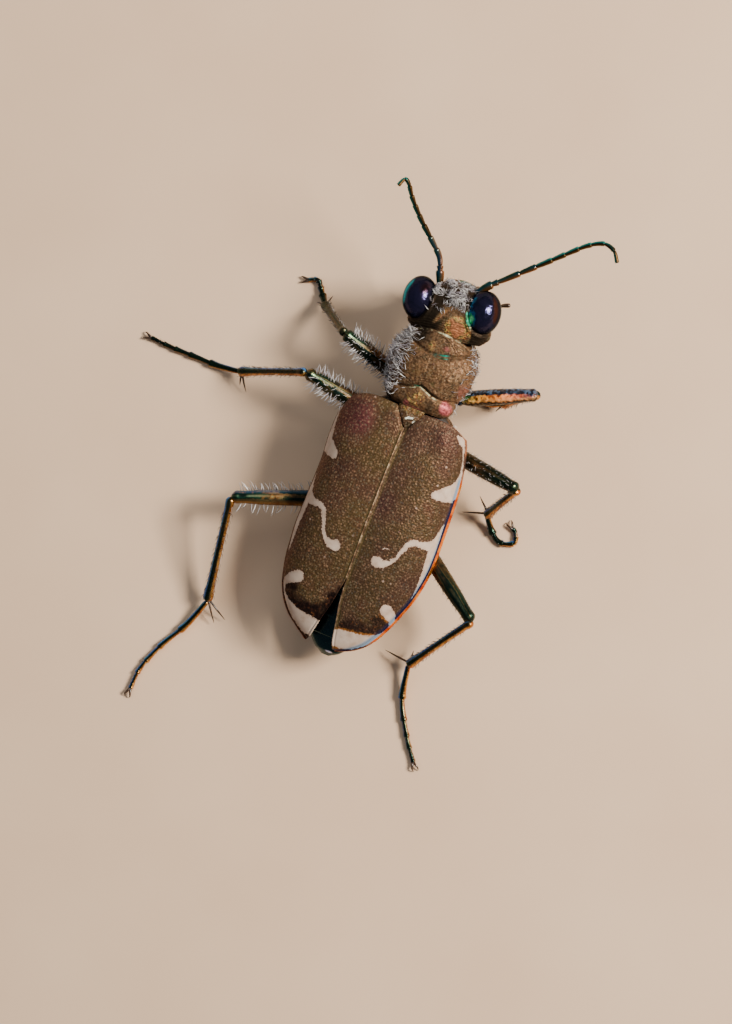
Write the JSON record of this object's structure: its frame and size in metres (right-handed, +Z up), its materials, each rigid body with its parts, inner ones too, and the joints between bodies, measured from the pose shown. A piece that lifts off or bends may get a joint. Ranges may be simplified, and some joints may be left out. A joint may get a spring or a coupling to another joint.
{
  "type": "tiger beetle",
  "caption": "Tiger beetle standing still on its feet: domed wing cases over a tapering belly, big side eyes, thread feelers, sickle jaws and long jointed legs with spurs and claws",
  "frame": {"origin": "the middle of the footprint of the whole model, on the surface that it stands on", "axes": "+Z up, the head towards -Y, the tail and the hind feet towards +Y, the beetle's own left side towards +X"},
  "size_m": [0.0134, 0.018, 0.0041],
  "materials": {
    "elytra": "finely pitted bronze-brown shell with ivory bands",
    "bronze": "wrinkled coppery bronze shell",
    "belly": "polished blue-green black shell",
    "leg": "polished dark green and copper shell",
    "eye": "glossy blue-black, finely faceted",
    "antenna": "satin black, metallic at the root",
    "ivory": "satin ivory",
    "jaw": "glossy dark brown",
    "bristle": "silky silver-white hairs"
  },
  "bodies": {
    "root": {"elytron_left": "elytra", "elytron_right": "elytra", "scutellum": "bronze", "prothorax": "bronze", "pterothorax": "belly", "abdomen": "belly", "head": "bronze", "labrum": "ivory", "eye_left": "eye", "eye_right": "eye", "mandible_left": "jaw", "mandible_right": "jaw", "palp_left": "jaw", "palp_right": "jaw", "antenna_left_1": "antenna", "antenna_left_2": "antenna", "antenna_left_3": "antenna", "antenna_right_1": "antenna", "antenna_right_2": "antenna", "antenna_right_3": "antenna", "femur_front_left": "leg", "tibia_front_left": "leg", "tarsus_front_left": "leg", "femur_front_right": "leg", "tibia_front_right": "leg", "tarsus_front_right": "leg", "femur_middle_left": "leg", "tibia_middle_left": "leg", "tarsus_middle_left": "leg", "femur_middle_right": "leg", "tibia_middle_right": "leg", "tarsus_middle_right": "leg", "femur_hind_left": "leg", "tibia_hind_left": "leg", "tarsus_hind_left": "leg", "femur_hind_right": "leg", "tibia_hind_right": "leg", "tarsus_hind_right": "leg"}
  },
  "joints": []
}
